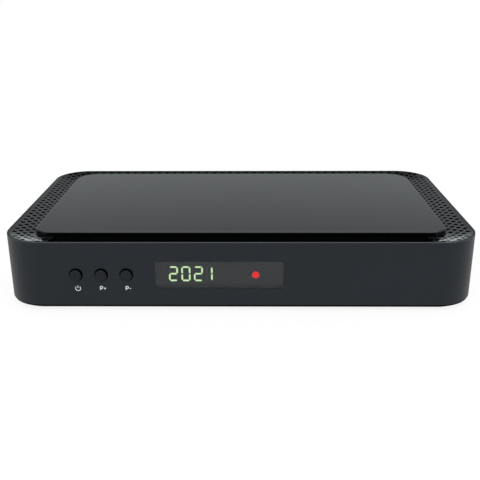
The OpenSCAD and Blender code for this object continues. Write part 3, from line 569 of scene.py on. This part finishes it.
# %% Small mouldings, chips and sleeves
moulded("switch_plastic", (22, 22, 24), (27, 27, 29), rough=0.45)
moulded("connector_plastic", (222, 216, 198), (212, 206, 188), rough=0.5)
moulded("chip_epoxy", (24, 24, 25), (32, 32, 33), rough=0.6, grain=0.12, depth=0.01)
moulded("coil_ferrite", (54, 54, 56), (62, 62, 64), rough=0.55, grain=0.2, depth=0.012)
moulded("capacitor_sleeve", (26, 36, 66), (30, 40, 72), rough=0.25, depth=0.002)
moulded("insulator_white", (232, 229, 220), (224, 221, 212), rough=0.45)
moulded("insulator_orange", (214, 108, 34), (206, 100, 30), rough=0.42)
moulded("tongue_black", (16, 16, 17), (20, 20, 21), rough=0.5)
moulded("tongue_white", (234, 234, 230), (226, 226, 222), rough=0.45)
moulded("jack_yellow", (206, 180, 48), (196, 170, 42), rough=0.42)
moulded("inlet_black", (17, 17, 18), (21, 21, 22), rough=0.48)

# %% [markdown]
# A circuit board is glass cloth under a green lacquer. The copper tracks below it show as
# slightly lighter bands, and a fine weave shows in the gloss. Two sets of stripes, broken
# up by a blocky noise, are enough for tracks that nobody reads.

# %% Boards and the flat cable
TRACK_PITCH, TRACK_SHARE = 1.6, 0.4
WIRE_PITCH, WIRE_SHARE = 1.0, 0.55


def stripes(t, position, pitch, share):
    group = t.add("Group", node_tree=STRIPES)
    for name, value in (("Position", position), ("Pitch", pitch), ("Width", share)):
        t.put(group.inputs[name], value)
    return group.outputs["Mask"]


def make_board():
    t, shader, place = start_material("board_green")
    axes = t.axes(place)
    along, across = (stripes(t, axes[axis], TRACK_PITCH, TRACK_SHARE) for axis in "XY")
    blocks = t.add("TexVoronoi", {"Vector": place, "Scale": 0.08 / MM}, distance="CHEBYCHEV")
    chance = t.add("SeparateColor", {0: blocks.outputs["Color"]}).outputs[0]
    track = t.mix_numbers(t.math("GREATER_THAN", chance, 0.5), along, across)
    t.put(shader.inputs["Base Color"], t.mix(track, linear(14, 62, 34), linear(24, 88, 48)))
    weave = t.add("TexNoise", {"Vector": place, "Scale": 2 / MM, "Detail": 1.0}).outputs["Fac"]
    t.put(shader.inputs["Roughness"], t.ramp(weave, 0.3, 0.7, 0.22, 0.34))
    bump(t, shader, t.math("MULTIPLY_ADD", weave, 0.2, track), 0.03)


def make_ribbon():
    t, shader, place = start_material("ribbon_grey")
    wires = stripes(t, t.axes(place)["X"], WIRE_PITCH, WIRE_SHARE)
    t.put(shader.inputs["Base Color"],
          t.mix(wires, linear(214, 214, 208), linear(184, 186, 186)))
    shader.inputs["Roughness"].default_value = 0.4
    bump(t, shader, wires, 0.05)


make_board()
make_ribbon()

for name, solid in NODES.items():
    for index in range(len(solid.data.materials)):
        solid.data.materials[index] = MATERIALS[SLOT_OF[name]]
print(len(MATERIALS), "finishes")

# %% [markdown]
# ## Surfaces from formulas
# The new shapes below are grids, apart from a few boxes: rows of points along a path and
# columns round it. Whole arrays are computed at once, and one helper turns a grid into a
# mesh. The grid's last column joins its first, and a cap closes each end with one fan of
# triangles, so that every piece is a sealed solid.

# %% The mesh helper
SHARP_ANGLE = 40


def grid_faces(rows, columns):
    """Corner numbers of the quads between neighbours of a grid: the point below, the
    point beside it and the two opposite, with the last column joined to the first."""
    row = np.arange(rows - 1)[:, None]
    column = np.arange(columns)[None, :]
    beside = (column + 1) % columns
    quads = np.stack([row * columns + column, row * columns + beside,
                      (row + 1) * columns + beside, (row + 1) * columns + column], axis=-1)
    return quads.reshape(-1, 4)


def closed_tube(rings):
    """Points and faces of a solid from rings of points, shape (rings, points, 3): quads
    between the rings, and a fan from the middle of the first and the last ring."""
    rows, columns = rings.shape[:2]
    points = rings.reshape(-1, 3)
    middles = rings[[0, -1]].mean(axis=1)
    here = np.arange(columns)
    there = (here + 1) % columns
    last = (rows - 1) * columns
    first_fan = np.stack([there, here, np.full(columns, rows * columns)], axis=1)
    last_fan = np.stack([last + here, last + there, np.full(columns, rows * columns + 1)], axis=1)
    faces = grid_faces(rows, columns).tolist() + first_fan.tolist() + last_fan.tolist()
    return np.vstack([points, middles]), faces


def add_piece(name, parts, finish):
    """One object from several sets of points and faces. Its edges sharper than the angle
    stay sharp, it rides on the case, and it wears the given finish."""
    points, faces, offset = [], [], 0
    for part_points, part_faces in parts:
        points.append(np.asarray(part_points))
        faces.extend([[corner + offset for corner in face] for face in part_faces])
        offset += len(part_points)
    mesh = bpy.data.meshes.new(name)
    mesh.from_pydata(np.vstack(points).tolist(), [], faces)
    mesh.materials.append(MATERIALS[finish])
    mesh.shade_smooth()
    mesh.set_sharp_from_angle(angle=math.radians(SHARP_ANGLE))
    mesh.update()
    piece = bpy.data.objects.new(name, mesh)
    bpy.context.scene.collection.objects.link(piece)
    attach(piece, "case")
    print(name, len(mesh.vertices), "points,", len(parts), "parts")
    return piece


# %% [markdown]
# ## The white prints under the buttons
# Pad-printed ink is a film a few hundredths of a millimetre thick with soft edges. Each
# mark is a stroke: a path in the plane of the front, a half-width that shrinks to nothing
# in a half circle at both ends, and a low dome across. The marks are the usual power
# sign, and P+ and P- for the next and the last programme.

# %% The stroke
INK_RISE = 0.03 * MM
INK_STEP = 0.06 * MM
INK_LEAST = 0.004 * MM
FRONT_Y = CASE_LOW.y
DOME = np.radians(np.linspace(0, 180, 7))


def resample(path):
    """The path again, with points a step apart, found by its length so far."""
    gaps = np.linalg.norm(np.diff(path, axis=0), axis=1)
    length = np.concatenate([[0], np.cumsum(gaps)])
    places = np.linspace(0, length[-1], max(4, int(length[-1] / INK_STEP) + 1))
    return np.stack([np.interp(places, length, path[:, k]) for k in (0, 1)], axis=1), places


def stroke(path, width):
    """A domed ribbon on the front face. The path is a list of x and z. Each ring has the
    dome's points across the path: half-width times cosine aside, and rise times sine out
    of the face; the half-width follows a circle near both ends. Two further points keep
    the underside flat, inside the face."""
    line, along = resample(np.array(path))
    half = width / 2
    end = np.clip(np.minimum(along, along[-1] - along) / half, 0, 1)
    half_width = half * np.sqrt(1 - (1 - end) ** 2) + INK_LEAST
    run = np.gradient(line, axis=0)
    run /= np.linalg.norm(run, axis=1)[:, None]
    aside = np.stack([-run[:, 1], run[:, 0]], axis=1)
    across = aside[:, None] * (half_width[:, None] * np.cos(DOME))[..., None] + line[:, None]
    rise = np.broadcast_to(INK_RISE * np.sin(DOME), across.shape[:2])
    top = np.stack([across[..., 0], FRONT_Y - rise, across[..., 1]], axis=-1)
    under = top[:, [-1, 0]].copy()
    under[..., 1] = FRONT_Y + INK_RISE
    return closed_tube(np.concatenate([top, under], axis=1))


def arc(x, z, radius, start, stop):
    """Points on a circle about x, z, from start to stop degrees, counted from +X."""
    angles = np.radians(np.linspace(start, stop, 32))
    return np.stack([x + radius * np.cos(angles), z + radius * np.sin(angles)], axis=1)


# %% The three marks
MARK_Z = 10.9 * MM
MARK_H = 1.8 * MM
MARK_T = 0.42 * MM
POWER_R = 1.12 * MM
POWER_T = 0.33 * MM
POWER_GAP = 46
BAR_LOW, BAR_HIGH = 0.1 * MM, POWER_R + 0.25 * MM
BOWL_R = MARK_H * 0.28
BOWL_REACH = BOWL_R * 1.1
SIGN_Z = MARK_Z - 0.1 * MM
POWER_RIGHT = 0.5 * MM
UP_LEFT = 0.7 * MM
DOWN_LEFT = 0.45 * MM
SIGN_RIGHT = 1.55 * MM
PLUS_W, MINUS_W = 0.95 * MM, 0.7 * MM


def middle(node):
    """The x and the z of the middle of a solid's box."""
    low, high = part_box(node)
    return (low.x + high.x) / 2, (low.z + high.z) / 2


def power_mark(x):
    ring = arc(x, MARK_Z, POWER_R, 90 + POWER_GAP, 450 - POWER_GAP)
    bar = np.array([[x, MARK_Z + BAR_LOW], [x, MARK_Z + BAR_HIGH]])
    return [stroke(ring, POWER_T), stroke(bar, POWER_T)]


def letter_p(x):
    """A stem, and a bowl that leaves its top, turns in a half circle and comes back."""
    top = MARK_Z + MARK_H / 2
    foot = MARK_Z - MARK_H / 2
    bowl = np.vstack([[[x, top]], arc(x + BOWL_REACH, top - BOWL_R, BOWL_R, 90, -90),
                      [[x, top - 2 * BOWL_R]]])
    return [stroke(np.array([[x, foot], [x, top]]), MARK_T), stroke(bowl, MARK_T)]


def dash(x, length):
    return stroke(np.array([[x, SIGN_Z], [x + length, SIGN_Z]]), MARK_T)


def plus_mark(x, length):
    """A dash with a second stroke across its middle."""
    across = x + length / 2
    low = SIGN_Z - length / 2
    return [dash(x, length), stroke(np.array([[across, low], [across, low + length]]), MARK_T)]


moulded("print_white", (236, 238, 240), (228, 230, 232), rough=0.5, depth=0.001)
power_x = middle("power_button")[0] + POWER_RIGHT
up_x = middle("channel_up_button")[0] - UP_LEFT
down_x = middle("channel_down_button")[0] - DOWN_LEFT
add_piece("print_power", power_mark(power_x), "print_white")
add_piece("print_up", letter_p(up_x) + plus_mark(up_x + SIGN_RIGHT, PLUS_W), "print_white")
add_piece("print_down", letter_p(down_x) + [dash(down_x + SIGN_RIGHT, MINUS_W)], "print_white")

# %% [markdown]
# ## Behind the window
# A thin grey mask fills the window just in front of the display block; the lit segments
# and the lamp stand out of it by a few hundredths of a millimetre. The segments that are
# off and the two dots of the colon are a shade lighter than the mask. A segment is a flat
# bar with pointed ends, so its outline has six corners.

# %% The mask and what is off
DIGITS = ("abdeg", "abcdef", "abdeg", "bc")
DIGIT_W, DIGIT_H, DIGIT_PITCH, SEGMENT_T = 4.05 * MM, 7.1 * MM, 5.5 * MM, 0.75 * MM
SEGMENT_GAP = 0.14 * MM
DOT_R, DOT_RISE = 0.34 * MM, 0.9 * MM
FILM = 0.02 * MM
MASK_EDGE = 0.1 * MM
MASK_DEEP = 0.2 * MM


def box_part(low, high):
    """The eight corners of a box and its six faces, each seen from outside."""
    x, y, z = zip(low, high)
    corners = [(x[i], y[j], z[k]) for i in (0, 1) for j in (0, 1) for k in (0, 1)]
    faces = [(0, 1, 3, 2), (4, 6, 7, 5), (0, 4, 5, 1), (2, 3, 7, 6), (0, 2, 6, 4), (1, 5, 7, 3)]
    return np.array(corners), faces


def prism(outline, front, back):
    """A flat outline of x and z, in order, pushed along Y from front to back."""
    flat = np.asarray(outline)
    rings = [np.stack([flat[:, 0], np.full(len(flat), y), flat[:, 1]], axis=1)
             for y in (front, back)]
    return closed_tube(np.array(rings))


def segment_outline(x, z, length, upright):
    """Six corners: half the length to each point, and the full width a half width in."""
    half, tip = SEGMENT_T / 2, length / 2 - SEGMENT_GAP
    bar = np.array([[-tip, 0], [half - tip, half], [tip - half, half], [tip, 0],
                    [tip - half, -half], [half - tip, -half]])
    return bar[:, ::-1] * (1, -1) + (x, z) if upright else bar + (x, z)


def off_segments(digit_x, digit_z, lit):
    """Outlines of a digit's dark segments. a, g and d lie at the top, the middle and the
    bottom; f, b, e and c stand in the four quarters."""
    across, high = (DIGIT_W - SEGMENT_T) / 2, (DIGIT_H - SEGMENT_T) / 4
    places = {"a": (0, 2, False), "g": (0, 0, False), "d": (0, -2, False), "f": (-1, 1, True),
              "b": (1, 1, True), "e": (-1, -1, True), "c": (1, -1, True)}
    return [segment_outline(digit_x + i * across, digit_z + j * high,
                            2 * high if upright else 2 * across, upright)
            for name, (i, j, upright) in places.items() if name not in lit]


window_low, window_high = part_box("display_window")
block_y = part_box("display_module")[0].y
mask_y = block_y - FILM
mask_low = (window_low.x + MASK_EDGE, mask_y, window_low.z + MASK_EDGE)
mask_high = (window_high.x - MASK_EDGE, block_y + MASK_DEEP, window_high.z - MASK_EDGE)
add_piece("display_mask", [box_part(mask_low, mask_high)], "mask_grey")
colon_x, digit_z = middle("display_module")
first_x = colon_x - (len(DIGITS) - 1) / 2 * DIGIT_PITCH
outlines = [outline for i, lit in enumerate(DIGITS)
            for outline in off_segments(first_x + i * DIGIT_PITCH, digit_z, lit)]
outlines += [arc(colon_x, digit_z + rise, DOT_R, 352, 8)[::-1] for rise in (-DOT_RISE, DOT_RISE)]
add_piece("segments_off", [prism(outline, mask_y - FILM, mask_y + FILM) for outline in outlines],
          "segment_unlit")

# %% [markdown]
# ## The threaded aerial connectors
# The solids have smooth barrels at the size over the thread. Here the thread is cut: the
# surface is a grid of heights along the barrel and angles round it, and its radius drops
# into a V whose place along the barrel moves by one pitch in each turn, which is all that
# a thread is. The V fades out near both ends of the thread.

# %% The thread
THREAD_PITCH = 25.4 / 32 * MM
THREAD_DEPTH = 0.42 * MM
THREAD_R = 4.75 * MM
V_STRETCH, V_CUT = 1.25, 0.12
MOUTH_R = 3.5 * MM
MOUTH_BEVEL = 0.6 * MM
BORE_BEVEL = 0.15 * MM
THREAD_LENGTH = 8.4 * MM
THREAD_END = 0.05 * MM
HUB_R = 0.2 * MM
BASE_BEVEL = 0.2 * MM
AROUND = 72
SCREW_STEP = THREAD_PITCH / 8


def thread_rings(x, z, back, start, mouth, base):
    """Rings from the middle of the bore's floor out over the mouth, back along the barrel
    and over its base. Radius on the thread = outer radius - depth * fold(along / pitch -
    angle / turn), where fold runs 0, 1, 0 over one pitch. It is stretched and clipped, so
    that crests and roots are a little flat."""
    angle = np.linspace(0, 2 * math.pi, AROUND, endpoint=False)
    bevel_y = mouth - MOUTH_BEVEL
    thread_y = np.arange(bevel_y, mouth - THREAD_LENGTH, -SCREW_STEP)
    steps = thread_y[:, None] / THREAD_PITCH - angle[None, :] / (2 * math.pi)
    fold = 1 - np.abs(2 * (steps % 1) - 1)
    span = np.minimum(thread_y[0] - thread_y, thread_y - thread_y[-1]) / THREAD_PITCH
    fade = np.clip(span, 0, 1)[:, None]
    cut = THREAD_R - THREAD_DEPTH * np.clip(fold * V_STRETCH - V_CUT, 0, 1) * fade
    head = [(HUB_R, start), (MOUTH_R, start), (MOUTH_R, mouth - BORE_BEVEL),
            (MOUTH_R + BORE_BEVEL, mouth), (THREAD_R - MOUTH_BEVEL, mouth), (THREAD_R, bevel_y)]
    tail = [(THREAD_R, thread_y[-1] - THREAD_END), (THREAD_R, start), (base - BASE_BEVEL, start),
            (base, start - BASE_BEVEL), (base, back), (HUB_R, back)]
    head_r, head_y = np.array(head).T
    tail_r, tail_y = np.array(tail).T
    r = np.vstack([np.repeat(head_r[:, None], AROUND, axis=1), cut,
                   np.repeat(tail_r[:, None], AROUND, axis=1)])
    y = np.concatenate([head_y, thread_y, tail_y])[:, None]
    return np.stack([x + r * np.cos(angle), np.broadcast_to(y, r.shape), z + r * np.sin(angle)],
                    axis=-1)


for connector in ("satellite_input", "satellite_output"):
    low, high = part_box(connector)
    rings = thread_rings(*middle(connector), low.y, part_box("aerial_insulators")[0].y, high.y,
                         (high.x - low.x) / 2)
    piece = add_piece(connector + "_threaded", [closed_tube(rings)], "nickel")
    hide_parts(connector)

# %% [markdown]
# ## Contacts and lights at the back
# A tongue without contacts looks like a blank. The digital video socket has ten strips on
# top of its tongue and nine below, half a step aside; the data socket has four broad ones
# below. The network socket shows two small windows, one for each of its lights. All are
# thin boxes, set in the part they lie on by as much as they stand out.

# %% Strips and windows
RAISED = 0.05 * MM
TONGUE_TIP = 0.2 * MM
VIDEO_STRIP = (0.35 * MM, 7 * MM)
DATA_STRIP = (1.1 * MM, 8 * MM)
LIGHT_INNER, LIGHT_OUTER = 3.4 * MM, 6.6 * MM
LIGHT_LOW, LIGHT_HIGH = 0.9 * MM, 2.9 * MM


def strips(node, places, size, above):
    """Boxes along Y from the mouth's end of a tongue, centred on the places in x."""
    width, length = size
    low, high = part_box(node)
    tip = high.y - TONGUE_TIP
    z = high.z if above else low.z
    lefts = middle(node)[0] + places - width / 2
    return [box_part((x, tip - length, z - RAISED), (x + width, tip, z + RAISED)) for x in lefts]


video_upper = (np.arange(10) - 4.5) * MM
video_lower = (np.arange(9) - 4.0) * MM
data_places = np.array([-3.5, -1.0, 1.0, 3.5]) * MM
add_piece("hdmi_contacts", strips("hdmi_tongue", video_upper, VIDEO_STRIP, True)
          + strips("hdmi_tongue", video_lower, VIDEO_STRIP, False), "contact_gold")
add_piece("usb_contacts", strips("usb_tongue", data_places, DATA_STRIP, False), "contact_gold")

port_low, port_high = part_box("network_socket")
port_x = middle("network_socket")[0]
for side, name, tone in ((-1, "network_light_left", (196, 158, 46)),
                         (1, "network_light_right", (58, 148, 82))):
    moulded(name, tone, tone, rough=0.25, depth=0.001)
    left, right = sorted((port_x + side * LIGHT_INNER, port_x + side * LIGHT_OUTER))
    add_piece(name, [box_part((left, port_high.y - RAISED, port_low.z + LIGHT_LOW),
                              (right, port_high.y + RAISED, port_low.z + LIGHT_HIGH))], name)

# %% [markdown]
# ## The floor, the lamp and the room
# A studio picture of a dark box on white has no horizon. The floor is a pale matt plane
# that keeps the box's shadow, and a ray that comes straight from the camera sees it
# lifted to white, except under the box, where it stays as dark as it is; a mirrored ray
# sees it evenly grey, so the front shows no gradient. From below the floor is clear. The
# room itself is an even light, white for the camera. In mirrors it is bright near the
# floor and darker higher up, which is what makes the far end of the raised panel paler
# than the near end, and bright again straight above, which draws a thin bright line along
# every rounded edge. One broad, weak lamp hangs over the box.

# %% Stage
FLOOR_HALF = 3.0
FLOOR_GREY = (0.8, 0.8, 0.8, 1)
WHITE = (1, 1, 1, 1)
MIRROR_TINT = (0.95, 1, 1, 1)
ROOM_LIGHT = 0.85
MIRROR_LOW = 0.76
MIRROR_HIGH = 0.06
MIRROR_LAMP = 2.0
FLOOR_LIFT = 0.82
FLOOR_WHITE = 1.07
FLOOR_MIRROR = 0.75
UNDER_FROM, UNDER_FULL = 3.9 * MM, 4.6 * MM
LAMP_AT = np.array([0.1, -0.2, 1.2])
LAMP_SIZE = 1.0
LAMP_WATTS = 4.0


def make_room():
    world = bpy.data.worlds.new("room")
    world.use_nodes = True
    bpy.context.scene.world = world
    t = Tree(world.node_tree)
    background = world.node_tree.nodes["Background"]
    path = t.add("LightPath").outputs
    height = t.axes(t.add("TexCoord").outputs["Generated"])["Z"]
    mirror = t.math("ADD", t.ramp(height, 0.1, 0.5, MIRROR_LOW, MIRROR_HIGH),
                    t.ramp(height, 0.65, 0.9, 0.0, MIRROR_LAMP))
    unseen = t.mix_numbers(path["Is Glossy Ray"], ROOM_LIGHT, mirror)
    t.put(background.inputs["Strength"], t.mix_numbers(path["Is Camera Ray"], unseen, 1.0))
    t.put(background.inputs["Color"], t.mix(path["Is Glossy Ray"], WHITE, MIRROR_TINT))


def make_floor():
    material = bpy.data.materials.new("studio_floor")
    material.use_nodes = True
    t = Tree(material.node_tree)
    shader = material.node_tree.nodes["Principled BSDF"]
    shader.inputs["Base Color"].default_value = FLOOR_GREY
    shader.inputs["Roughness"].default_value = 0.9
    shader.inputs["Specular IOR Level"].default_value = 0.0
    path = t.add("LightPath").outputs
    place = t.add("TexCoord").outputs["Object"]
    open_floor = t.ramp(inside_outline(t, place), UNDER_FULL, UNDER_FROM, 0.0, FLOOR_LIFT)
    seen = t.math("MULTIPLY", path["Is Camera Ray"], open_floor)
    below = t.add("NewGeometry").outputs["Backfacing"]
    lifted = t.add("Emission", {"Color": WHITE, "Strength": FLOOR_WHITE})
    even = t.add("Emission", {"Color": WHITE, "Strength": FLOOR_MIRROR})
    surface = shader.outputs[0]
    for factor, other in ((seen, lifted), (path["Is Glossy Ray"], even),
                          (below, t.add("BsdfTransparent"))):
        surface = t.add("MixShader", {0: factor, 1: surface, 2: other.outputs[0]}).outputs[0]
    t.put(material.node_tree.nodes["Material Output"].inputs["Surface"], surface)
    mesh = bpy.data.meshes.new("floor")
    corners = [(-FLOOR_HALF, -FLOOR_HALF, 0), (FLOOR_HALF, -FLOOR_HALF, 0),
               (FLOOR_HALF, FLOOR_HALF, 0), (-FLOOR_HALF, FLOOR_HALF, 0)]
    mesh.from_pydata(corners, [], [(0, 1, 2, 3)])
    mesh.materials.append(material)
    floor = bpy.data.objects.new("floor", mesh)
    bpy.context.scene.collection.objects.link(floor)


def make_lamp():
    """A square area lamp that faces the middle of the floor: its -Z is that direction."""
    data = bpy.data.lights.new("top_lamp", "AREA")
    data.size = LAMP_SIZE
    data.energy = LAMP_WATTS
    lamp = bpy.data.objects.new("top_lamp", data)
    backwards = LAMP_AT / np.linalg.norm(LAMP_AT)
    right = np.cross([0, 1, 0.01], backwards)
    right /= np.linalg.norm(right)
    lamp.matrix_world = turned_matrix(right, np.cross(backwards, right), backwards, LAMP_AT)
    bpy.context.scene.collection.objects.link(lamp)


make_room()
make_floor()
make_lamp()
bpy.context.scene.view_settings.view_transform = "Standard"
print("room light", ROOM_LIGHT, "and a lamp of", LAMP_WATTS, "watts")
